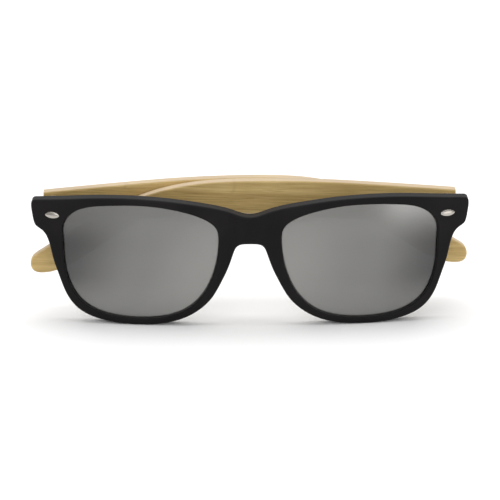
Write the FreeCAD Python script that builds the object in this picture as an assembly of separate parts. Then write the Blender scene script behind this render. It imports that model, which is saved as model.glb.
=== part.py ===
import FreeCAD, Part

import math
import os

from FreeCAD import Vector

# Wooden sunglasses: a moulded black front with two lenses, and two bamboo temples
# on sprung metal hinges. Millimetres, +Z up, the front faces -Y, left is +X as worn.
# The temples are folded behind the front: the left one first, the right one over it.

# The front as seen from straight ahead, its left half, as (x, z)
FRONT_TOP = [
    (0, 37.3), (8, 39.2), (16, 41.0), (28, 42.7), (40, 43.35), (52, 43.0), (62, 42.05), (71.6, 41.05),
]
FRONT_SIDE = [(71.6, 41.05), (72.6, 40.5), (72.92, 39.4), (72.65, 36.6), (72.15, 34.0), (71.1, 32.15)]
FRONT_LOWER = [
    (71.1, 32.15), (68.8, 30.6), (67.3, 28.1), (65.8, 22.1), (63.8, 15.9), (61.4, 9.6), (57.6, 4.75),
    (51.6, 1.75), (44.4, 0.35), (36.5, 0), (29.8, 0.5), (23.6, 1.95), (17.4, 5.15), (13.1, 9.2), (9.7, 14.9),
    (7.1, 20.4), (5.65, 24.5), (4.2, 27.25), (0, 28.2),
]
SIDE_START_DIRECTION = (1, -0.12)
SIDE_END_DIRECTION = (-0.8, -0.55)
LENS_OPENING = [
    (62.5, 30.3), (60.6, 36.2), (55.9, 39.15), (48.4, 40.55), (39.1, 41.0), (30, 40.5), (21.2, 38.75),
    (14.9, 36.4), (11.1, 33.2), (10.4, 28.5), (11.3, 21.6), (13.5, 15.0), (17.1, 9.3), (21.9, 5.35),
    (27.7, 3.15), (36.0, 2.2), (43.9, 2.55), (51.0, 4.2), (56.4, 7.5), (60.1, 13.1), (62.0, 20.8),
]

# The front as seen from above: each lens side is an arc, and the bridge bows forward between two creases
WRAP_RADIUS = 125.0
LOBE_X = 22.9
BRIDGE_HALF_WIDTH = 7.0
BRIDGE_BOW = 0.9
LENS_MID_Z = 19.3
RIM_THICKNESS = 4.6
OUTER_EDGE_RADIUS = 0.8
OPENING_EDGE_RADIUS = 0.4

LENS_RECESS = 1.3
LENS_THICKNESS = 1.8
GROOVE_DEPTH = 0.8
OFFSET_POINTS = 60
GROOVE_CLEARANCE = 0.05

# The points that curve the front: shares of the bridge's half width, and heights from the lens's middle
SLAB_ACROSS = [0, 0.3, 0.62, 0.9, 1.2, 1.7, 2.6, 3.6, 5.0, 7.0, 9.0, 11.2]
SLAB_HEIGHTS = (-24, -12, 0, 12, 30)
CUT_MARGIN = 1.0

# Moulded nose pads on the back of the rim: slanted ovals, with rings as (share of height, share of size)
PAD_BASE = (9.9, 18.6)
PAD_HALF_WIDTH = 1.9
PAD_HALF_HEIGHT = 6.6
PAD_SLANT = 24.0
PAD_HEIGHT = 7.4
PAD_SPREAD = 1.6
PAD_RINGS = [(0.0, 1.0), (0.45, 0.88), (0.75, 0.74), (0.93, 0.5), (1.0, 0.22)]

# End pieces: the front is thicker behind the hinges, up to the face that the temples butt on
BUTT_Y = 17.0
END_PIECE_X = 62.8
END_PIECE_LOW_Z = 29.6
END_PIECE_HIGH_Z = 40.3
END_PIECE_RUN = 9.5
END_PIECE_STEP = 2.2
END_PIECE_DIRECTIONS = [(1, 0.3), (1, 0.2)]

# Hinge pin, and the leaf that is moulded into the end piece
PIN_X = 66.2
PIN_BACK = 3.4
HINGE_Z = 36.5
KNUCKLE_RADIUS = 1.4
KNUCKLE_HALF_HEIGHT = 0.9
KNUCKLE_GAP = 0.05
LEAF_HALF_HEIGHT = 2.6
LEAF_FOOT = (3.0, 2.6)
LEAF_FOOT_DEPTH = 2.4
LEAF_FOOT_HALF_HEIGHT = 3.0
LEAF_CLEARANCE = 0.03
SCREW_RADIUS = 0.7
SCREW_HEAD_RADIUS = 1.3
SCREW_HEAD_HEIGHT = 0.7
SCREW_SLOT_WIDTH = 0.3
SCREW_SLOT_DEPTH = 0.3
SCREW_FIT = 0.02
PIVOT_FIT = 0.05

# Front studs: slanted ovals, domed in two steps, with a rivet into the hinge leaf
STUD_X = 65.7
STUD_LENGTH = 4.8
STUD_WIDTH = 2.1
STUD_SLANT = 0.5
STUD_SUNK = 0.4
STUD_PROUD = 0.35
STUD_STEP = 0.3
STUD_CLEARANCE = 0.05
RIVET_RADIUS = 0.6

# Temples in side view, as (distance from the butt end, height above the top of the butt end)
TEMPLE_TOP_Z = 40.7
TEMPLE_UPPER = [
    (0, 0), (19, 1.6), (36, 2.9), (50, 3.7), (64, 4.05), (78, 3.95), (90, 2.95), (100, 0.9),
    (108.3, -1.9), (117.5, -6.4), (126, -11.0), (133, -15.1), (139.2, -19.0),
]
TEMPLE_TIP = [(139.2, -19.0), (143.6, -22.8), (143.0, -26.2), (138.2, -27.1)]
TEMPLE_LOWER = [
    (138.2, -27.1), (133.6, -25.9), (126, -21.8), (117.5, -16.2), (110.5, -11.6), (104, -8.2),
    (97, -6.6), (86, -6.6), (70, -7.6), (45, -9.3), (22, -10.6), (0, -11.65),
]
UPPER_START_DIRECTION = (1, 0.09)
TIP_START_DIRECTION = (1, -0.66)
TIP_END_DIRECTION = (-1, 0.1)
LOWER_END_DIRECTION = (-1, -0.045)
TEMPLE_THICKNESS = 4.0
TEMPLE_INSIDE = 2.0
TEMPLE_EDGE_RADIUS = 0.7
BUTT_GAP = 0.1
FOLDED_TILT = {"left": 1.9, "right": -1.9}

# Spring hinge in each temple: a slider with a rod, in a housing let into the wood
SLIDER_OFFSET = 2.6
SLIDER_HALF_WIDTH = 0.8
CRANK_ANGLES = (158, -17)
CRANK_INSET = 0.04
CRANK_INNER = (0.9, 2.5)
CRANK_OUTER_START = 1.4
BAR_END = 4.6
ROD_RADIUS = 0.45
ROD_END = 13.3
HOUSING_START = 2.7
HOUSING_END = 15.0
HOUSING_WALL = 0.5
HOUSING_HALF_WIDTH = 1.5
HOUSING_HALF_HEIGHT = 1.9
HOUSING_EDGE_SHARE = 0.8
MOUTH_LENGTH = 0.8
SLIDE_FIT = 0.05
SLOT_CLEARANCE = 0.2
SLOT_REACH = 0.4
POCKET_CLEARANCE = 0.05
STOP_THICKNESS = 1.2
CAP_THICKNESS = 0.85
CAP_RADIUS = 0.9
SPRING_TRAVEL = 1.5
SPRING_WIRE_RADIUS = 0.12
SPRING_TURNS = 9
TAB_LENGTH = 3.4
TAB_THICKNESS = 0.8
TAB_HALF_HEIGHT = 1.5
TAB_SCREW_RADIUS = 0.55
TAB_SCREW_HEAD_RADIUS = 1.05
TAB_SCREW_HEAD_HEIGHT = 0.4
TAB_SCREW_LENGTH = 3.0

# Worked out from the sizes above
PIN_Y = BUTT_Y + PIN_BACK
BUTT_END = BUTT_GAP - PIN_BACK
TIP_REACH = max(s for s, h in TEMPLE_TIP) + BUTT_END
DEPTH = PIN_Y + TEMPLE_INSIDE + TEMPLE_THICKNESS + TIP_REACH * math.sin(math.radians(-FOLDED_TILT["right"]))
FAR = 60.0
SIDES = ("left", "right")


def plan(x):
    """How far behind its foremost point the front's face lies at x, on the lens's middle line."""
    x = abs(x)
    if x >= BRIDGE_HALF_WIDTH:
        return (x - LOBE_X) ** 2 / (2 * WRAP_RADIUS)
    edge = plan(BRIDGE_HALF_WIDTH)
    slope = (BRIDGE_HALF_WIDTH - LOBE_X) / WRAP_RADIUS
    fourth = (slope - 2 * BRIDGE_BOW / BRIDGE_HALF_WIDTH) / (2 * BRIDGE_HALF_WIDTH**3)
    second = (BRIDGE_BOW - fourth * BRIDGE_HALF_WIDTH**4) / BRIDGE_HALF_WIDTH**2
    return edge - BRIDGE_BOW + second * x**2 + fourth * x**4


def face_y(x, z):
    """The front's face: its plan, with the same gentle arc from top to bottom."""
    return plan(x) + (z - LENS_MID_Z) ** 2 / (2 * WRAP_RADIUS)


def slab(start, thickness):
    """A curved slab parallel to the front's face, from start behind it, larger than the front."""
    xs = [-BRIDGE_HALF_WIDTH * k for k in SLAB_ACROSS[:0:-1]] + [BRIDGE_HALF_WIDTH * k for k in SLAB_ACROSS]
    zs = [LENS_MID_Z + dz for dz in SLAB_HEIGHTS]
    surface = Part.BSplineSurface()
    surface.interpolate([[Vector(x, face_y(x, z) + start, z) for z in zs] for x in xs])
    return surface.toShape().extrude(Vector(0, thickness, 0))


def mirrored(shape):
    """The same shape on the other side of the nose."""
    return shape.mirror(Vector(0, 0, 0), Vector(1, 0, 0))


def on_side(shape, side):
    """The left-hand shape, or its mirror image for the right."""
    return shape if side == "left" else mirrored(shape)


def box(low, high):
    """A block between two opposite corners."""
    size = [b - a for a, b in zip(low, high)]
    return Part.makeBox(size[0], size[1], size[2], Vector(*low))


def spline(points, start, end):
    """A smooth edge through points, with the directions at its two ends."""
    line = Part.BSplineCurve()
    ends = [Vector(direction).normalize() for direction in (start, end)]
    line.interpolate(Points=points, InitialTangent=ends[0], FinalTangent=ends[1], Scale=False)
    return line.toShape()


def curve(points, start, end):
    """A smooth edge in the XZ plane, through (x, z) points with (x, z) end directions."""
    places = [Vector(x, 0, z) for x, z in points]
    return spline(places, Vector(start[0], 0, start[1]), Vector(end[0], 0, end[1]))


def straight(a, b):
    """A straight edge in the XZ plane."""
    return Part.makeLine(Vector(a[0], 0, a[1]), Vector(b[0], 0, b[1]))


def front_outline():
    """The whole outline of the front as a closed wire in the XZ plane."""
    top = curve(FRONT_TOP, (1, 0), SIDE_START_DIRECTION)
    side = curve(FRONT_SIDE, SIDE_START_DIRECTION, SIDE_END_DIRECTION)
    lower = curve(FRONT_LOWER, SIDE_END_DIRECTION, (-1, 0))
    half = [top, side, lower]
    return Part.Wire(Part.__sortEdges__(half + [mirrored(e) for e in half]))


def lens_outline(grow):
    """The left lens opening as a closed wire, offset outwards by grow."""
    line = Part.BSplineCurve()
    line.interpolate(Points=[Vector(x, 0, z) for x, z in LENS_OPENING], PeriodicFlag=True)
    first, last = line.FirstParameter, line.LastParameter
    if grow:
        places = [first + (last - first) * k / OFFSET_POINTS for k in range(OFFSET_POINTS)]
        tangents = [line.tangent(u)[0] for u in places]
        moved = [line.value(u) + Vector(t.z, 0, -t.x) * grow for u, t in zip(places, tangents)]
        line = Part.BSplineCurve()
        line.interpolate(Points=moved, PeriodicFlag=True)
        first, last = line.FirstParameter, line.LastParameter
    half = (first + last) / 2
    return Part.Wire([line.toShape(first, half), line.toShape(half, last)])


def prism(wire, start=-FAR, length=2 * FAR):
    """A straight block through the front, from an outline in the XZ plane."""
    block = Part.Face(wire).extrude(Vector(0, length, 0))
    block.translate(Vector(0, start, 0))
    return block


def middle(edge):
    """The point half way along an edge."""
    return edge.valueAt((edge.FirstParameter + edge.LastParameter) / 2)


def edges_at(shape, offset, tolerance=0.03):
    """The edges that lie on the front's face, or on its parallel at an offset behind it."""
    found = []
    for edge in shape.Edges:
        places = [v.Point for v in edge.Vertexes] + [middle(edge)]
        if all(abs(p.y - face_y(p.x, p.z) - offset) < tolerance for p in places):
            found.append(edge)
    return found


def end_piece():
    """The thick part behind the left hinge, with its back face flat at the butt plane."""
    start = END_PIECE_X - END_PIECE_RUN
    back = face_y(start, TEMPLE_TOP_Z) + RIM_THICKNESS / 2
    points = [
        Vector(start, back, 0),
        Vector(END_PIECE_X - END_PIECE_RUN / 3, BUTT_Y - END_PIECE_STEP, 0),
        Vector(END_PIECE_X, BUTT_Y, 0),
    ]
    ramp = spline(points, *[Vector(x, y, 0) for x, y in END_PIECE_DIRECTIONS])
    far_x = 2 * PIN_X - END_PIECE_X + END_PIECE_RUN
    corners = [points[-1], Vector(far_x, BUTT_Y, 0), Vector(far_x, back, 0), points[0]]
    sides = [Part.makeLine(a, b) for a, b in zip(corners, corners[1:])]
    block = Part.Face(Part.Wire([ramp] + sides)).extrude(Vector(0, 0, END_PIECE_HIGH_Z - END_PIECE_LOW_Z))
    block.translate(Vector(0, 0, END_PIECE_LOW_Z))
    return block.common(prism(front_outline())).common(slab(RIM_THICKNESS / 2, FAR))


def nose_pad():
    """A moulded pad behind the left rim beside the nose: an oval that narrows and leans outwards."""
    rings = []
    start = face_y(*PAD_BASE) + RIM_THICKNESS / 2
    for height, share in PAD_RINGS:
        oval = Part.Ellipse(Vector(0, 0, 0), PAD_HALF_HEIGHT * share, PAD_HALF_WIDTH * share)
        ring = Part.Wire(oval.toShape())
        ring.rotate(Vector(0, 0, 0), Vector(1, 0, 0), 90)
        ring.rotate(Vector(0, 0, 0), Vector(0, 1, 0), -90 - PAD_SLANT)
        ring.translate(Vector(PAD_BASE[0] + PAD_SPREAD * height, start + PAD_HEIGHT * height, PAD_BASE[1]))
        rings.append(ring)
    return Part.makeLoft(rings, True)


def stud_outline(grow):
    """The stud's outline: a long oval, slanted up at the outer end."""
    length, width = STUD_LENGTH / 2 + grow, STUD_WIDTH / 2 + grow
    wire = Part.Wire(Part.Ellipse(Vector(0, 0, 0), length, width).toShape())
    wire.rotate(Vector(0, 0, 0), Vector(1, 0, 0), 90)
    wire.rotate(Vector(0, 0, 0), Vector(0, 1, 0), -STUD_SLANT)
    wire.translate(Vector(STUD_X, 0, HINGE_Z))
    return wire


def rivet(radius, length):
    """A straight pin through the end piece, from the stud towards the hinge leaf."""
    start = face_y(STUD_X, HINGE_Z)
    return Part.makeCylinder(radius, length - start, Vector(STUD_X, start, HINGE_Z), Vector(0, 1, 0))


def front_stud():
    """The stud: a sunk oval plate with a smaller one on it, and its rivet."""
    low = prism(stud_outline(0)).common(slab(-STUD_PROUD / 2, STUD_PROUD / 2 + STUD_SUNK))
    high = prism(stud_outline(-STUD_STEP)).common(slab(-STUD_PROUD, STUD_PROUD))
    plate = low.fuse(high)
    return plate.fuse(rivet(RIVET_RADIUS, BUTT_Y - LEAF_FOOT_DEPTH)).removeSplitter()


def leaf_foot(grow):
    """The part of the hinge leaf that is moulded into the end piece."""
    low = (PIN_X - LEAF_FOOT[0] - grow, BUTT_Y - LEAF_FOOT_DEPTH, HINGE_Z - LEAF_FOOT_HALF_HEIGHT - grow)
    high = (PIN_X + LEAF_FOOT[1] + grow, BUTT_Y, HINGE_Z + LEAF_FOOT_HALF_HEIGHT + grow)
    return box(low, high)


def front_leaf():
    """The moulded-in hinge leaf with its two knuckles round the pin."""
    leaf = leaf_foot(0)
    inner = KNUCKLE_HALF_HEIGHT + KNUCKLE_GAP
    for low, high in ((inner, LEAF_HALF_HEIGHT), (-LEAF_HALF_HEIGHT, -inner)):
        corner = (PIN_X - KNUCKLE_RADIUS, BUTT_Y, HINGE_Z + low)
        web = box(corner, (PIN_X + KNUCKLE_RADIUS, PIN_Y, HINGE_Z + high))
        eye = Part.makeCylinder(KNUCKLE_RADIUS, high - low, Vector(PIN_X, PIN_Y, HINGE_Z + low))
        leaf = leaf.fuse([web, eye])
    deep = LEAF_HALF_HEIGHT + CUT_MARGIN
    bore = Part.makeCylinder(SCREW_RADIUS + SCREW_FIT, 2 * deep, Vector(PIN_X, PIN_Y, HINGE_Z - deep))
    return leaf.cut(bore).removeSplitter()


def hinge_screw():
    """The hinge pin: a slotted screw from above through all three knuckles."""
    top = HINGE_Z + LEAF_HALF_HEIGHT
    foot = Vector(PIN_X, PIN_Y, HINGE_Z - LEAF_HALF_HEIGHT)
    shank = Part.makeCylinder(SCREW_RADIUS, 2 * LEAF_HALF_HEIGHT, foot)
    head = Part.makeCylinder(SCREW_HEAD_RADIUS, SCREW_HEAD_HEIGHT, Vector(PIN_X, PIN_Y, top))
    upper = [e for e in head.Edges if e.BoundBox.ZMin > top + SCREW_HEAD_HEIGHT / 2]
    head = head.makeFillet(SCREW_HEAD_HEIGHT / 3, upper)
    crown = top + SCREW_HEAD_HEIGHT
    slot_low = (PIN_X - SCREW_HEAD_RADIUS, PIN_Y - SCREW_SLOT_WIDTH / 2, crown - SCREW_SLOT_DEPTH)
    slot_high = (PIN_X + SCREW_HEAD_RADIUS, PIN_Y + SCREW_SLOT_WIDTH / 2, crown)
    return head.cut(box(slot_low, slot_high)).fuse(shank).removeSplitter()


def front_frame():
    """The moulded front: rims, bridge, end pieces and nose pads in one piece."""
    body = prism(front_outline()).common(slab(0, RIM_THICKNESS))
    body = body.makeFillet(OUTER_EDGE_RADIUS, edges_at(body, 0))
    opening = prism(lens_outline(0))
    ends = end_piece().cut(opening)
    pad = nose_pad().cut(opening)
    body = body.cut([opening, mirrored(opening)])
    near = prism(lens_outline(OPENING_EDGE_RADIUS))
    both = (near, mirrored(near))
    rims = [e for e in edges_at(body, 0) if any(zone.isInside(middle(e), 0, False) for zone in both)]
    body = body.makeFillet(OPENING_EDGE_RADIUS, rims)
    body = body.fuse([ends, mirrored(ends), pad, mirrored(pad)])
    groove = prism(lens_outline(GROOVE_DEPTH)).common(
        slab(LENS_RECESS - GROOVE_CLEARANCE, LENS_THICKNESS + 2 * GROOVE_CLEARANCE)
    )
    body = body.cut([groove, mirrored(groove)])
    recess = prism(stud_outline(STUD_CLEARANCE)).common(slab(-CUT_MARGIN, CUT_MARGIN + STUD_SUNK))
    hole = rivet(RIVET_RADIUS + SCREW_FIT, BUTT_Y)
    for side in SIDES:
        body = body.cut([on_side(t, side) for t in (recess, hole, leaf_foot(LEAF_CLEARANCE))])
    return body


def lens():
    """One lens, its edge in the rim's groove."""
    outline = lens_outline(GROOVE_DEPTH - GROOVE_CLEARANCE)
    return prism(outline).common(slab(LENS_RECESS, LENS_THICKNESS))


def folded(shape, side):
    """Turns a temple piece from its open place along +Y to its folded place, about the hinge pin.

    Temple pieces are drawn with x outwards and y along the temple, both from the pin."""
    turned = shape.copy()
    turned.rotate(Vector(0, 0, 0), Vector(0, 0, 1), 90 + FOLDED_TILT[side])
    turned.translate(Vector(PIN_X, PIN_Y, 0))
    return on_side(turned, side)


def housing_box(grow, start, end):
    """The spring housing's outer block, grown on its sides."""
    low = (SLIDER_OFFSET - HOUSING_HALF_WIDTH - grow, start, HINGE_Z - HOUSING_HALF_HEIGHT - grow)
    high = (SLIDER_OFFSET + HOUSING_HALF_WIDTH + grow, end, HINGE_Z + HOUSING_HALF_HEIGHT + grow)
    return box(low, high)


def tab_box(grow):
    """The thin tab behind the housing, grown on its sides and end."""
    low = (TEMPLE_INSIDE, HOUSING_END - HOUSING_WALL, HINGE_Z - TAB_HALF_HEIGHT - grow)
    end = HOUSING_END + TAB_LENGTH + grow
    high = (TEMPLE_INSIDE + TAB_THICKNESS + grow, end, HINGE_Z + TAB_HALF_HEIGHT + grow)
    return box(low, high)


def across_tab(radius, length):
    """A cylinder from the tab's outer face into the wood, on the housing screw's axis."""
    foot = Vector(TEMPLE_INSIDE, HOUSING_END + TAB_LENGTH / 2, HINGE_Z)
    return Part.makeCylinder(radius, length, foot, Vector(1, 0, 0))


def temple():
    """The bamboo board, with the pockets for its hinge."""
    def placed(points):
        return [(s + BUTT_END, TEMPLE_TOP_Z + h) for s, h in points]

    upper = curve(placed(TEMPLE_UPPER), UPPER_START_DIRECTION, TIP_START_DIRECTION)
    tip = curve(placed(TEMPLE_TIP), TIP_START_DIRECTION, TIP_END_DIRECTION)
    lower = curve(placed(TEMPLE_LOWER), TIP_END_DIRECTION, LOWER_END_DIRECTION)
    butt = straight(placed(TEMPLE_LOWER)[-1], placed(TEMPLE_UPPER)[0])
    outline = Part.Wire([upper, tip, lower, butt])
    outline.rotate(Vector(0, 0, 0), Vector(0, 0, 1), 90)
    board = Part.Face(outline).extrude(Vector(TEMPLE_THICKNESS, 0, 0))
    board.translate(Vector(TEMPLE_INSIDE, 0, 0))
    round_about = [e for e in board.Edges if e.BoundBox.XLength < TEMPLE_THICKNESS / 2]
    long_edges = [e for e in round_about if e.BoundBox.YLength > TEMPLE_THICKNESS / 2]
    board = board.makeFillet(TEMPLE_EDGE_RADIUS, long_edges)
    slot_half = KNUCKLE_HALF_HEIGHT + SLOT_CLEARANCE
    slot_side = SLIDER_OFFSET + SLIDER_HALF_WIDTH + SLOT_CLEARANCE
    slot_low = (0, -SPRING_TRAVEL - SLOT_REACH, HINGE_Z - slot_half)
    slot_high = (slot_side, HOUSING_START + SLIDE_FIT, HINGE_Z + slot_half)
    pocket = housing_box(POCKET_CLEARANCE, HOUSING_START - POCKET_CLEARANCE, HOUSING_END + POCKET_CLEARANCE)
    screw_hole = across_tab(TAB_SCREW_RADIUS + SCREW_FIT, TAB_SCREW_LENGTH + POCKET_CLEARANCE)
    return board.cut([box(slot_low, slot_high), pocket, tab_box(POCKET_CLEARANCE), screw_hole])


def spring_housing():
    """The hinge housing: a closed metal box with a mouth for the slider and a screw tab behind."""
    shell = housing_box(0, HOUSING_START, HOUSING_END)
    showing = [e for e in shell.Edges if e.BoundBox.XMax < SLIDER_OFFSET]
    shell = shell.makeFillet(HOUSING_WALL * HOUSING_EDGE_SHARE, showing)
    half = HOUSING_HALF_WIDTH - HOUSING_WALL
    tall = HOUSING_HALF_HEIGHT - HOUSING_WALL
    inside = cavity(half, tall, HOUSING_START + MOUTH_LENGTH, HOUSING_END - HOUSING_WALL)
    mouth = cavity(SLIDER_HALF_WIDTH + SLIDE_FIT, KNUCKLE_HALF_HEIGHT + SLIDE_FIT, 0, HOUSING_END / 2)
    head = across_tab(TAB_SCREW_HEAD_RADIUS + SCREW_FIT, TAB_SCREW_HEAD_HEIGHT)
    shank = across_tab(TAB_SCREW_RADIUS + SCREW_FIT, TAB_THICKNESS)
    return shell.fuse(tab_box(0)).cut([inside, mouth, head, shank]).removeSplitter()


def cavity(half_width, half_height, start, end):
    """A block on the slider's middle line."""
    low = (SLIDER_OFFSET - half_width, start, HINGE_Z - half_height)
    high = (SLIDER_OFFSET + half_width, end, HINGE_Z + half_height)
    return box(low, high)


def hinge_slider():
    """The temple's knuckle with a cranked bar, and the rod that the spring pulls on."""
    inner, outer = SLIDER_OFFSET - SLIDER_HALF_WIDTH, SLIDER_OFFSET + SLIDER_HALF_WIDTH
    turns = [math.radians(angle) for angle in CRANK_ANGLES]
    root = KNUCKLE_RADIUS - CRANK_INSET
    first, last = [(root * math.cos(turn), root * math.sin(turn)) for turn in turns]
    bar = [(inner, CRANK_INNER[1]), (inner, BAR_END), (outer, BAR_END), (outer, CRANK_OUTER_START)]
    low = HINGE_Z - KNUCKLE_HALF_HEIGHT
    corners = [first, CRANK_INNER] + bar + [last, first]
    crank = Part.Face(Part.makePolygon([Vector(x, y, low) for x, y in corners]))
    crank = crank.extrude(Vector(0, 0, 2 * KNUCKLE_HALF_HEIGHT))
    eye = Part.makeCylinder(KNUCKLE_RADIUS, 2 * KNUCKLE_HALF_HEIGHT, Vector(0, 0, low))
    bore = Part.makeCylinder(SCREW_RADIUS + PIVOT_FIT, 2 * KNUCKLE_HALF_HEIGHT, Vector(0, 0, low))
    rod = rod_along(ROD_RADIUS, BAR_END, ROD_END)
    return crank.fuse([eye, rod]).cut(bore).removeSplitter()


def rod_along(radius, start, end):
    """A cylinder on the slider's middle line."""
    return Part.makeCylinder(radius, end - start, Vector(SLIDER_OFFSET, start, HINGE_Z), Vector(0, 1, 0))


def spring_stop():
    """The block fixed in the housing, which the slider's bar rests on and the spring pushes from."""
    half = HOUSING_HALF_WIDTH - HOUSING_WALL - SCREW_FIT
    tall = HOUSING_HALF_HEIGHT - HOUSING_WALL - SCREW_FIT
    block = cavity(half, tall, BAR_END + SLIDE_FIT, BAR_END + STOP_THICKNESS)
    return block.cut(rod_along(ROD_RADIUS + SLIDE_FIT, 0, ROD_END))


def spring_cap():
    """The collar pressed on the rod's end, which holds the spring."""
    collar = rod_along(CAP_RADIUS, ROD_END - CAP_THICKNESS, ROD_END)
    return collar.cut(rod_along(ROD_RADIUS + SCREW_FIT, 0, FAR))


def hinge_spring():
    """The coil spring round the rod, between the stop and the collar."""
    start = BAR_END + STOP_THICKNESS + SPRING_WIRE_RADIUS + SCREW_FIT
    end = ROD_END - CAP_THICKNESS - SPRING_WIRE_RADIUS - SCREW_FIT
    pitch = (end - start) / SPRING_TURNS
    mean = (ROD_RADIUS + CAP_RADIUS) / 2 + SPRING_WIRE_RADIUS / 4
    helix = Part.makeHelix(pitch, end - start, mean)
    ring = Part.Wire(Part.makeCircle(SPRING_WIRE_RADIUS, Vector(mean, 0, 0), Vector(0, 1, 0)))
    coil = Part.Wire(helix).makePipeShell([ring], True, True)
    coil.rotate(Vector(0, 0, 0), Vector(1, 0, 0), -90)
    coil.translate(Vector(SLIDER_OFFSET, start, HINGE_Z))
    return coil


def housing_screw():
    """The small flush screw through the housing's tab into the wood."""
    head = across_tab(TAB_SCREW_HEAD_RADIUS, TAB_SCREW_HEAD_HEIGHT)
    screw = head.fuse(across_tab(TAB_SCREW_RADIUS, TAB_SCREW_LENGTH))
    middle_y = HOUSING_END + TAB_LENGTH / 2
    slot_low = (TEMPLE_INSIDE, middle_y - TAB_SCREW_HEAD_RADIUS, HINGE_Z - SCREW_SLOT_WIDTH / 2)
    slot_high = (
        TEMPLE_INSIDE + TAB_SCREW_HEAD_HEIGHT / 2,
        middle_y + TAB_SCREW_HEAD_RADIUS,
        HINGE_Z + SCREW_SLOT_WIDTH / 2,
    )
    return screw.cut(box(slot_low, slot_high)).removeSplitter()


def pieces():
    """Every piece by its name, in its place with the temples folded."""
    made = {"front_frame": front_frame()}
    fixed = {
        "lens": lens(), "front_stud": front_stud(), "hinge_front_leaf": front_leaf(),
        "hinge_screw": hinge_screw(),
    }
    carried = {
        "temple": temple(), "spring_housing": spring_housing(), "hinge_slider": hinge_slider(),
        "spring_stop": spring_stop(), "spring_cap": spring_cap(), "hinge_spring": hinge_spring(),
        "housing_screw": housing_screw(),
    }
    for side in SIDES:
        for name, shape in fixed.items():
            made[f"{name}_{side}"] = on_side(shape, side)
        for name, shape in carried.items():
            made[f"{name}_{side}"] = folded(shape, side)
    return made


os.makedirs("parts", exist_ok=True)
for node, shape in pieces().items():
    shape.translate(Vector(0, -DEPTH / 2, 0))
    shape.exportStep(f"parts/{node}.step")
    bounds = shape.BoundBox
    print(node, shape.ShapeType, len(shape.Solids), shape.isValid(), round(shape.Volume, 2), end=" ")
    print([round(v, 2) for v in (bounds.XMin, bounds.XMax, bounds.YMin, bounds.YMax, bounds.ZMin, bounds.ZMax)])
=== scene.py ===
import math

import bpy
import numpy as np
from mathutils import Matrix, Vector


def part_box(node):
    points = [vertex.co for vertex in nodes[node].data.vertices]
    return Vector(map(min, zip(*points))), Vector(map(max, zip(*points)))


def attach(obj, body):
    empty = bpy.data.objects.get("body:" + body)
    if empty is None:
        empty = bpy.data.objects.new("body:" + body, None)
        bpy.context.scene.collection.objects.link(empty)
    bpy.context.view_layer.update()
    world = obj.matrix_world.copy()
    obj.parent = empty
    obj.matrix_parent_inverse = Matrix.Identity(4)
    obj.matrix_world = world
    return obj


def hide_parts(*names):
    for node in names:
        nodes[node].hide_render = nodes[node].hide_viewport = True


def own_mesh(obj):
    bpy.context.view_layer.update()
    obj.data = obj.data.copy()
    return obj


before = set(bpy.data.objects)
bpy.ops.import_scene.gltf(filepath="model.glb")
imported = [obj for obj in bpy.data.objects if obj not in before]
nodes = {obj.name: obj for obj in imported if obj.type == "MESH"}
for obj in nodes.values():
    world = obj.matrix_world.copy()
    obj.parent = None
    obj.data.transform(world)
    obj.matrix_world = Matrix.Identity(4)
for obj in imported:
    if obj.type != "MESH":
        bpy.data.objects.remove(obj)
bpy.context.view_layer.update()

# The front: one injection-moulded piece of black nylon, rims, bridge and end pieces together,
# with the nose pads moulded behind it. It is tumbled and lacquered to a soft, rubber-like matt.
FRONT_BLACK = (0.0062, 0.0055, 0.0057)
FRONT_BLACK_WORN = (0.0108, 0.0096, 0.0098)
FRONT_ROUGHNESS = 0.5
MOULD_GRAIN = 2600.0
MOULD_GRAIN_DEPTH = 0.00001
MOULD_CLOUDS = 55.0


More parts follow.
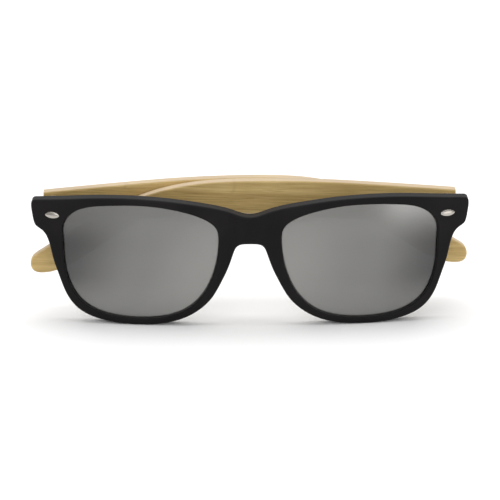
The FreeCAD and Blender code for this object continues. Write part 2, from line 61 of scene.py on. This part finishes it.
class Finish:
    """A procedural material round one Principled shader; fixed sets the shader's own sockets."""

    def __init__(self, name, **fixed):
        self.material = bpy.data.materials.new(name)
        self.material.use_nodes = True
        self.tree = self.material.node_tree
        self.tree.nodes.clear()
        self.shader = self.tree.nodes.new("ShaderNodeBsdfPrincipled")
        output = self.tree.nodes.new("ShaderNodeOutputMaterial")
        self.tree.links.new(self.shader.outputs[0], output.inputs[0])
        for socket, value in fixed.items():
            self.shader.inputs[socket.replace("_", " ")].default_value = value

    def add(self, kind, settings=None, inputs=None):
        """Adds a node of a type: its settings first, then values or links for its sockets."""
        node = self.tree.nodes.new(kind)
        for name, value in (settings or {}).items():
            setattr(node, name, value)
        for name, value in (inputs or {}).items():
            self.put(self.find(node.inputs, name), value)
        return node

    def find(self, sockets, name):
        """A socket by its place, or the first one in use with its name."""
        if isinstance(name, int):
            return sockets[name]
        usable = [s for s in sockets if s.name == name and s.enabled]
        return usable[0] if usable else sockets[name]

    def put(self, socket, value):
        """Links a signal to a socket, or sets its value."""
        if isinstance(value, Signal):
            self.tree.links.new(value.socket, socket)
        else:
            socket.default_value = value

    def out(self, node, name):
        return Signal(self, self.find(node.outputs, name))

    def number(self, kind, name, settings=None, inputs=None):
        """Adds a node and gives the output of that name."""
        return self.out(self.add(kind, settings, inputs), name)

    def position(self, centre=(0, 0, 0), turn=0.0):
        """Object coordinates measured from a centre, turned about the vertical."""
        coordinates = self.number("ShaderNodeTexCoord", "Object")
        moved = self.vector("SUBTRACT", coordinates, centre)
        return self.number("ShaderNodeMapping", "Vector", None, {"Vector": moved, "Rotation": (0, 0, turn)})

    def vector(self, operation, first, second):
        return self.number("ShaderNodeVectorMath", "Vector", {"operation": operation}, {0: first, 1: second})

    def stretched(self, place, scale):
        """The place with its three axes scaled, for a pattern of short or long marks."""
        return self.vector("MULTIPLY", place, scale)

    def noise(self, place, scale=1.0, detail=3.0, roughness=0.5, offset=0.0):
        """Soft random blotches from 0 to 1; an offset picks another piece of the pattern."""
        moved = self.vector("ADD", place, (offset,) * 3)
        inputs = {"Vector": moved, "Scale": scale, "Detail": detail, "Roughness": roughness}
        return self.number("ShaderNodeTexNoise", "Fac", None, inputs)

    def mix(self, first, second, share):
        """The first colour, with a share of the second."""
        settings = {"data_type": "RGBA", "blend_type": "MIX"}
        first = first if isinstance(first, Signal) else (*first, 1.0)
        second = second if isinstance(second, Signal) else (*second, 1.0)
        return self.number("ShaderNodeMix", "Result", settings, {"Factor": share, "A": first, "B": second})

    def bump(self, height, depth, strength):
        """Relief of a real depth in metres."""
        inputs = {"Height": height, "Distance": depth, "Strength": strength}
        return self.number("ShaderNodeBump", "Normal", None, inputs)

    def finish(self, **varying):
        """Gives the shader what changes over the surface."""
        for socket, value in varying.items():
            self.put(self.shader.inputs[socket.replace("_", " ")], value)
        return self.material


class Signal:
    """A socket; arithmetic on one that carries a number adds the Math nodes for it."""

    def __init__(self, owner, socket):
        self.owner = owner
        self.socket = socket

    def math(self, operation, *others):
        inputs = dict(enumerate((self,) + others))
        return self.owner.number("ShaderNodeMath", "Value", {"operation": operation}, inputs)

    def __add__(self, other):
        return self.math("ADD", other)

    def __sub__(self, other):
        return self.math("SUBTRACT", other)

    def __mul__(self, other):
        return self.math("MULTIPLY", other)

    def __truediv__(self, other):
        return self.math("DIVIDE", other)

    def __pow__(self, other):
        return self.math("POWER", other)

    def __rsub__(self, other):
        return self * -1 + other

    __radd__ = __add__
    __rmul__ = __mul__

    def step(self, low, high):
        """Rises smoothly from 0 at low to 1 at high."""
        inputs = {"Value": self, "From Min": low, "From Max": high}
        settings = {"interpolation_type": "SMOOTHSTEP"}
        return self.owner.number("ShaderNodeMapRange", "Result", settings, inputs)

    def band(self, centre, width):
        """1 at the centre, falling smoothly to 0 at a width either side."""
        return 1 - (self - centre).math("ABSOLUTE").step(0.0, width)


def dress(node, material):
    """Gives a CAD node or a new piece its material."""
    mesh = node.data
    if mesh.materials:
        mesh.materials[0] = material
    else:
        mesh.materials.append(material)


moulding = Finish(
    "front_black_nylon", IOR=1.5, Specular_IOR_Level=0.1, Sheen_Weight=0.07, Sheen_Roughness=0.35
)
place = moulding.position()
clouds = moulding.noise(place, MOULD_CLOUDS, 3.0)
skin = moulding.noise(place, MOULD_GRAIN, 2.0)
moulded_black = moulding.mix(FRONT_BLACK, FRONT_BLACK_WORN, clouds.step(0.35, 0.75))
moulding.finish(
    Base_Color=moulded_black,
    Roughness=FRONT_ROUGHNESS + (clouds - 0.5) * 0.10 + (skin - 0.5) * 0.05,
    Normal=moulding.bump(skin, MOULD_GRAIN_DEPTH, 0.35),
)
dress(nodes["front_frame"], moulding.material)

# The lenses: dyed polycarbonate, 1.8 mm thick, snapped into the rims' grooves. A thin silver
# mirror coat makes them grey and bright, and lets a little of what is behind them through.
SIDES = ("left", "right")
LENS_CENTRE_X = 0.036
LENS_CENTRE_Z = 0.022
# Painted reflection: the lens colours grade from lighter by the nose to darker toward the temple side, and
# lighter toward the top and bottom brims.
LENS_NEAR_NOSE = (0.26, 0.256, 0.246)
LENS_MIDDLE = (0.192, 0.19, 0.184)
LENS_TEMPORAL = (0.078, 0.077, 0.077)
LENS_BRIM = (0.36, 0.357, 0.345)
NOSE_TO_MIDDLE = (-0.024, 0.004)
MIDDLE_TO_TEMPORAL = (0.002, 0.027)
MIDDLE_TO_BRIM = (0.004, 0.022)
BRIM_SHARE = 0.62
LENS_LEAN = {"left": -0.25, "right": 0.25}
LENS_OPACITY = 0.90
LENS_ROUGHNESS = 0.24
COAT_CLOUDS = 28.0

for side in SIDES:
    sign = 1 if side == "left" else -1
    coat = Finish(f"lens_mirror_{side}", Metallic=0.9, IOR=1.58)
    place = coat.position((sign * LENS_CENTRE_X, 0, LENS_CENTRE_Z))
    axes = coat.add("ShaderNodeSeparateXYZ", None, {"Vector": place})
    outward = coat.out(axes, "X") * sign
    height = coat.out(axes, "Z")
    drift = coat.noise(place, COAT_CLOUDS, 2.0, 0.5, 3.0 * sign)
    across = outward + height * LENS_LEAN[side] + (drift - 0.5) * 0.006
    # Painted reflection in the base colour, graded across and up each lens under the mirror coat's own
    # gloss.
    inner = coat.mix(LENS_NEAR_NOSE, LENS_MIDDLE, across.step(*NOSE_TO_MIDDLE))
    painted_reflection = coat.mix(inner, LENS_TEMPORAL, across.step(*MIDDLE_TO_TEMPORAL))
    painted_reflection = coat.mix(painted_reflection, LENS_BRIM, height.math("ABSOLUTE").step(*MIDDLE_TO_BRIM) * BRIM_SHARE)
    coat.finish(
        Base_Color=painted_reflection,
        Roughness=LENS_ROUGHNESS + (drift - 0.5) * 0.05,
        Alpha=LENS_OPACITY + (drift - 0.5) * 0.03,
    )
    dress(nodes[f"lens_{side}"], coat.material)

# The front studs: small pointed ovals of nickel-plated brass, riveted through the end pieces
# to hold the hinge leaves. Their faces are domed and polished.
STUD_X = 0.0657
HINGE_Z = 0.0365
MIDDLE_Y = -0.015526
WRAP_RADIUS = 0.125
LOBE_X = 0.0229
LENS_MID_Z = 0.0193
STUD_HALF_LENGTH = 0.0024
STUD_HALF_WIDTH = 0.00105
STUD_SLANT = math.radians(0.5)
STUD_PROUD = 0.0004
STUD_SUNK = 0.0004
STUD_POINT = 0.16
STUD_BACK_EDGE = 0.97
STUD_NICKEL_DARK = (0.35, 0.325, 0.295)
STUD_NICKEL_LIGHT = (0.52, 0.49, 0.45)
STUD_RUBBING = (900, 900, 5200)
RUBBING_DEPTH = 0.000006
RIVET_RADIUS = 0.0006
RIVET_END = -0.000926


def face_y(x, z):
    """The front's face: (|x| - lobe)² / 2R, plus the same arc in height about the lens's middle."""
    return ((np.abs(x) - LOBE_X) ** 2 + (z - LENS_MID_Z) ** 2) / (2 * WRAP_RADIUS) + MIDDLE_Y


def surface(name, points):
    """A closed skin over a grid of points (ring, step, xyz): each ring joined round and to the next,
    and the first and last closed to their centres."""
    rings, steps = points.shape[:2]
    grid = np.arange(rings * steps).reshape(rings, steps)
    after = np.roll(grid, -1, axis=1)
    quads = np.stack([grid[:-1], after[:-1], after[1:], grid[1:]], axis=-1).reshape(-1, 4)
    first, last = rings * steps, rings * steps + 1
    cap_a = np.stack([after[0], grid[0], np.full(steps, first)], axis=-1)
    cap_b = np.stack([grid[-1], after[-1], np.full(steps, last)], axis=-1)
    centres = [points[0].mean(axis=0), points[-1].mean(axis=0)]
    vertices = np.concatenate([points.reshape(-1, 3), centres])
    mesh = bpy.data.meshes.new(name)
    mesh.from_pydata(vertices.tolist(), [], quads.tolist() + cap_a.tolist() + cap_b.tolist())
    mesh.update()
    mesh.polygons.foreach_set("use_smooth", np.ones(len(mesh.polygons), dtype=bool))
    piece = bpy.data.objects.new(name, mesh)
    bpy.context.scene.collection.objects.link(piece)
    return piece


def stud_points(side, around=96, rings=14, first=0.06):
    """Rings along the stud, front to back. At a rise angle a of the dome the oval's half sizes go with
    sin a and its height with cos a. Its width is cut by the cube of the cosine round it, which points
    its ends. The straight edge and the round rivet follow."""
    rise = np.linspace(first, 1.0, rings) * math.pi / 2
    turn = np.linspace(0, 2 * math.pi, around, endpoint=False)
    size = np.concatenate([np.sin(rise), [1.0, STUD_BACK_EDGE]])
    back = np.concatenate([-STUD_PROUD * np.cos(rise), [STUD_SUNK * 0.9, STUD_SUNK]])
    along = np.outer(size, np.cos(turn)) * STUD_HALF_LENGTH
    pointed = 1 - STUD_POINT * np.abs(np.cos(turn)) ** 3
    across = np.outer(size, np.sin(turn) * pointed) * STUD_HALF_WIDTH
    x = STUD_X + along * math.cos(STUD_SLANT) - across * math.sin(STUD_SLANT)
    z = HINGE_Z + along * math.sin(STUD_SLANT) + across * math.cos(STUD_SLANT)
    plate = np.stack([x, face_y(x, z) + back[:, None], z], axis=-1)
    start = face_y(STUD_X, HINGE_Z) + STUD_SUNK
    circle_x = STUD_X + RIVET_RADIUS * np.cos(turn)
    circle_z = HINGE_Z + RIVET_RADIUS * np.sin(turn)
    rivet = [np.stack([circle_x, np.full(around, y), circle_z], axis=-1) for y in (start, RIVET_END)]
    points = np.concatenate([plate, rivet])
    if side == "right":
        points[..., 0] *= -1
        points = points[:, ::-1]
    return points


plated = Finish("stud_nickel", Metallic=1.0, IOR=2.0)
place = plated.position((0, 0, HINGE_Z))
rubbed = plated.noise(plated.stretched(place, STUD_RUBBING), 1.0, 3.0, 0.6)
plated.finish(
    Base_Color=plated.mix(STUD_NICKEL_DARK, STUD_NICKEL_LIGHT, rubbed),
    Roughness=0.20 + rubbed * 0.12,
    Normal=plated.bump(rubbed, RUBBING_DEPTH, 0.5),
)
for side in SIDES:
    stud = surface(f"domed_stud_{side}", stud_points(side))
    dress(stud, plated.material)
    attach(stud, "front")
    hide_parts(f"front_stud_{side}")

# The hinges: pressed and tumbled nickel silver. A leaf with two knuckles is moulded into each
# end piece, and a cranked slider with one knuckle runs into a closed housing in the temple.
METAL_LIGHT = (0.63, 0.62, 0.60)
METAL_DARK = (0.42, 0.415, 0.41)
METAL_BLOTCHES = 420.0
METAL_SCRATCHES = (700, 9000, 2600)
SCRATCH_DEPTH = 0.000008

tumbled = Finish("hinge_nickel_silver", Metallic=1.0, IOR=2.0)
place = tumbled.position((0, 0, HINGE_Z))
blotches = tumbled.noise(place, METAL_BLOTCHES, 4.0, 0.6)
scratches = tumbled.noise(tumbled.stretched(place, METAL_SCRATCHES), 1.0, 2.0, 0.6)
tumbled.finish(
    Base_Color=tumbled.mix(METAL_DARK, METAL_LIGHT, (blotches * 0.6 + scratches * 0.4).step(0.3, 0.65)),
    Roughness=0.30 + (blotches - 0.5) * 0.2 + (scratches - 0.5) * 0.15,
    Normal=tumbled.bump(scratches, SCRATCH_DEPTH, 0.5),
)
for side in SIDES:
    for piece in ("hinge_front_leaf", "hinge_slider", "spring_housing", "spring_stop", "spring_cap"):
        dress(nodes[f"{piece}_{side}"], tumbled.material)

# The screws: bright steel. The hinge screw drops in from above as the pin of the three knuckles,
# and a small flush screw holds the housing's tab to the wood.
STEEL_LIGHT = (0.74, 0.74, 0.75)
STEEL_DARK = (0.50, 0.50, 0.51)
TURNING_MARKS = (2500, 2500, 7000)
TURNING_DEPTH = 0.000005

bright = Finish("screw_steel", Metallic=1.0, IOR=2.0)
place = bright.position((0, 0, HINGE_Z))
turned = bright.noise(bright.stretched(place, TURNING_MARKS), 1.0, 3.0, 0.55)
bright.finish(
    Base_Color=bright.mix(STEEL_DARK, STEEL_LIGHT, turned.step(0.3, 0.7)),
    Roughness=0.18 + turned * 0.16,
    Normal=bright.bump(turned, TURNING_DEPTH, 0.4),
)
for side in SIDES:
    dress(nodes[f"hinge_screw_{side}"], bright.material)
    dress(nodes[f"housing_screw_{side}"], bright.material)

# The coil springs: drawn steel wire, wound open round each slider's rod between the housing's stop
# and the rod's collar.
PIN_X = 0.0662
PIN_Y = 0.004874
SLIDER_OFFSET = 0.0026
FOLDED_TURN = {"left": math.radians(91.9), "right": math.radians(88.1)}
COIL_START = 0.00594
COIL_END = 0.01231
COIL_TURNS = 9
COIL_RADIUS = 0.000705
WIRE_RADIUS = 0.00012
WIRE_LIGHT = (0.52, 0.51, 0.50)
WIRE_DARK = (0.30, 0.29, 0.29)
WIRE_MARKS = 1800.0


def folded(side, outward, along, height):
    """A place in a temple, measured outward and along it from the hinge pin and turned about the pin
    to where it is folded."""
    turn = FOLDED_TURN[side]
    x = PIN_X + outward * math.cos(turn) - along * math.sin(turn)
    y = PIN_Y + outward * math.sin(turn) + along * math.cos(turn)
    return np.stack([x if side == "left" else -x, y, HINGE_Z + height], axis=-1)


def coil_points(side, rings=217, around=10):
    """A helix of wire: at a turn t the wire's circle stands square to the helix, its middle at
    (radius cos t, radius sin t) round the rod and at the lead times t along it."""
    turn = np.linspace(0, 2 * math.pi * COIL_TURNS, rings)[:, None]
    wire = np.linspace(0, 2 * math.pi, around, endpoint=False) * (1 if side == "left" else -1)
    lead = (COIL_END - COIL_START) / (2 * math.pi * COIL_TURNS)
    cant = math.atan2(lead, COIL_RADIUS)
    radial = COIL_RADIUS + WIRE_RADIUS * np.cos(wire)
    sideways = WIRE_RADIUS * np.sin(wire)
    outward = SLIDER_OFFSET + radial * np.cos(turn) + sideways * math.sin(cant) * np.sin(turn)
    height = radial * np.sin(turn) - sideways * math.sin(cant) * np.cos(turn)
    return folded(side, outward, COIL_START + lead * turn + sideways * math.cos(cant), height)


drawn = Finish("spring_wire", Metallic=1.0, IOR=2.0)
wire = drawn.noise(drawn.position((0, 0, HINGE_Z)), WIRE_MARKS, 3.0, 0.6)
drawn.finish(
    Base_Color=drawn.mix(WIRE_DARK, WIRE_LIGHT, wire),
    Roughness=0.26 + wire * 0.18,
)
for side in SIDES:
    coil = surface(f"wound_spring_{side}", coil_points(side))
    dress(coil, drawn.material)
    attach(coil, f"temple_{side}")
    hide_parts(f"hinge_spring_{side}")
    held = folded(side, SLIDER_OFFSET, COIL_START - WIRE_RADIUS, 0.0)
    free = folded(side, SLIDER_OFFSET, COIL_END, 0.0)
    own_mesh(coil)

# The temples: boards of laminated bamboo, 4 mm thick, cut to shape, rounded along their edges,
# sanded fine and lightly oiled. Each board is glued up from strips with long fibres and a few nodes.
BOARD_TURN = math.radians(-1.9)
STRIP_WIDTH = 0.0056
FIBRE_SLOPE = 0.035
RING_SPREAD = 0.13
WANDER = (9, 60, 14)
BROAD_GRAIN = (16, 260, 900)
FINE_GRAIN = (75, 1000, 2300)
FLECKS = (130, 2400, 3600)
TONE_CLOUDS = (22, 30, 60)
GRAIN_DEPTH = 0.00004
BAMBOO_LIGHT = (0.73, 0.55, 0.25)
BAMBOO_MIDDLE = (0.56, 0.395, 0.155)
BAMBOO_DARK = (0.38, 0.25, 0.085)
# Painted highlight colour for the faces of a board that point up or down.
BAMBOO_EDGE_HIGHLIGHT = (0.53, 0.44, 0.36)


def bamboo(name, centre, seed):
    """Long fibres over strips of slightly different tone, dark glue lines, flecks and faint node rings.
    The seed picks each board's own piece of the pattern."""
    wood = Finish(name, IOR=1.45, Specular_IOR_Level=0.35)
    place = wood.position(centre, BOARD_TURN)
    axes = wood.add("ShaderNodeSeparateXYZ", None, {"Vector": place})
    along, through, height = (wood.out(axes, axis) for axis in "XYZ")
    wander = wood.noise(wood.stretched(place, WANDER), 1.0, 2.0, 0.5, seed)
    across = height + along * FIBRE_SLOPE + (wander - 0.5) * 0.004
    count = across / STRIP_WIDTH + seed
    strip = count.math("FLOOR")
    within = count.math("FRACT")
    chance = ("ShaderNodeTexWhiteNoise", "Value", {"noise_dimensions": "1D"})
    tone = wood.number(*chance, {"W": strip})
    ring_place = wood.number(*chance, {"W": strip + 7.3})
    grain = wood.number("ShaderNodeCombineXYZ", "Vector", None, {"X": along, "Y": through, "Z": across})
    broad = wood.noise(wood.stretched(grain, BROAD_GRAIN), 1.0, 4.0, 0.6, seed)
    fine = wood.noise(wood.stretched(grain, FINE_GRAIN), 1.0, 3.0, 0.7, seed + 4)
    flecks = wood.noise(wood.stretched(grain, FLECKS), 1.0, 2.0, 0.5, seed + 9).step(0.60, 0.72)
    clouds = wood.noise(wood.stretched(grain, TONE_CLOUDS), 1.0, 2.0, 0.5, seed + 2)
    joint = 1 - within.step(0.0, 0.05) * (1 - within.step(0.96, 1.0))
    from_ring = along + (ring_place - 0.5) * RING_SPREAD
    ring = (from_ring + (within - 0.5) ** 2 * 0.004).band(0.0, 0.0011)
    halo = (from_ring + 0.003).band(0.0, 0.006)
    depth = broad * 0.38 + fine * 0.52 + (tone - 0.5) * 0.13 + (clouds - 0.5) * 0.22
    body = wood.mix(BAMBOO_DARK, BAMBOO_MIDDLE, depth.step(0.26, 0.48))
    body = wood.mix(body, BAMBOO_LIGHT, depth.step(0.42, 0.66))
    body = wood.mix(body, BAMBOO_DARK, flecks * 0.45 + joint * 0.20 + ring * 0.30)
    body = wood.mix(body, BAMBOO_LIGHT, halo * 0.25)
    # Painted highlight: the faces that point up or down are made lighter, standing in for light from above
    # falling on the top edges.
    normal = wood.number("ShaderNodeTexCoord", "Normal")
    facing = wood.add("ShaderNodeSeparateXYZ", None, {"Vector": normal})
    edge_highlight_share = wood.out(facing, "Z").math("ABSOLUTE")
    body = wood.mix(body, BAMBOO_EDGE_HIGHLIGHT, edge_highlight_share.step(0.35, 0.95) * (0.72 - fine * 0.3))
    relief = fine * 0.6 + broad * 0.4 - joint * 0.5 - flecks * 0.3
    wood.finish(
        Base_Color=body,
        Roughness=0.50 + (fine - 0.5) * 0.2 + flecks * 0.1,
        Normal=wood.bump(relief, GRAIN_DEPTH, 0.6),
    )
    return wood.material


for side, seed in zip(SIDES, (3.0, 11.0)):
    board = nodes[f"temple_{side}"]
    low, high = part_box(f"temple_{side}")
    dress(board, bamboo(f"bamboo_{side}", tuple((low + high) / 2), seed))

# The floor: a plain pale sweep that the glasses stand on, lit by a large soft box above and two
# weaker ones in front, the second low at the wearer's left, in an even pale room.
FLOOR_HALF = 3.0
ROOM_STRENGTH = 0.55
LIT_POINT = Vector((0, 0, 0.02))
PAPER_LIGHT = (0.95, 0.95, 0.95)
PAPER_DARK = (0.93, 0.93, 0.93)
PAPER_TONES = 40.0
mesh = bpy.data.meshes.new("floor")
corners = np.array([(-1, -1, 0), (1, -1, 0), (1, 1, 0), (-1, 1, 0)]) * FLOOR_HALF
mesh.from_pydata(corners.tolist(), [], [(0, 1, 2, 3)])
floor = bpy.data.objects.new("floor", mesh)
bpy.context.scene.collection.objects.link(floor)
paper = Finish("pale_paper", Specular_IOR_Level=0.2)
paper_tone = paper.noise(paper.position(), PAPER_TONES, 2.0)
paper.finish(
    Base_Color=paper.mix(PAPER_DARK, PAPER_LIGHT, paper_tone),
    Roughness=0.85 + paper_tone * 0.1,
)
dress(floor, paper.material)


def soft_box(name, place, size, power):
    """A rectangular studio light that looks at the glasses."""
    light = bpy.data.lights.new(name, "AREA")
    light.shape = "RECTANGLE"
    light.size, light.size_y = size
    light.energy = power
    lamp = bpy.data.objects.new(name, light)
    lamp.location = place
    lamp.rotation_euler = (LIT_POINT - Vector(place)).to_track_quat("-Z", "Y").to_euler()
    bpy.context.scene.collection.objects.link(lamp)


soft_box("top_box", (0.0, 0.35, 1.1), (1.6, 1.2), 14.0)
soft_box("front_box", (-0.3, -1.3, 0.9), (1.2, 0.8), 5.0)
soft_box("side_box", (0.98, -1.13, 0.30), (0.85, 0.6), 2.7)

world = bpy.data.worlds.new("room")
world.use_nodes = True
backdrop = world.node_tree.nodes["Background"]
backdrop.inputs["Color"].default_value = (1.0, 1.0, 1.0, 1.0)
backdrop.inputs["Strength"].default_value = ROOM_STRENGTH
bpy.context.scene.world = world
bpy.context.scene.view_settings.view_transform = "Standard"

# The camera: straight ahead of the front and 17 degrees above it, far off with a long lens.
CAMERA_RISE = math.radians(17.0)
CAMERA_ROLL = math.radians(0.35)
CAMERA_DISTANCE = 0.8
CAMERA_LENS = 173.3
CAMERA_SHIFT = (-0.0004, 0.016)
CAMERA_TARGET = Vector((0.0, 0.005 + MIDDLE_Y, 0.0223))

forward = Vector((0, math.cos(CAMERA_RISE), -math.sin(CAMERA_RISE)))
upright = Vector((0, math.sin(CAMERA_RISE), math.cos(CAMERA_RISE)))
sideways = Vector((1, 0, 0))
right = sideways * math.cos(CAMERA_ROLL) - upright * math.sin(CAMERA_ROLL)
top = upright * math.cos(CAMERA_ROLL) + sideways * math.sin(CAMERA_ROLL)
lens = bpy.data.cameras.new("camera")
lens.sensor_width = 36.0
lens.lens = CAMERA_LENS
lens.shift_x, lens.shift_y = CAMERA_SHIFT
camera = bpy.data.objects.new("camera", lens)
stand = CAMERA_TARGET - forward * CAMERA_DISTANCE
turn = Matrix((right, top, -forward)).transposed().to_4x4()
camera.matrix_world = Matrix.Translation(stand) @ turn
bpy.context.scene.collection.objects.link(camera)
bpy.context.scene.camera = camera
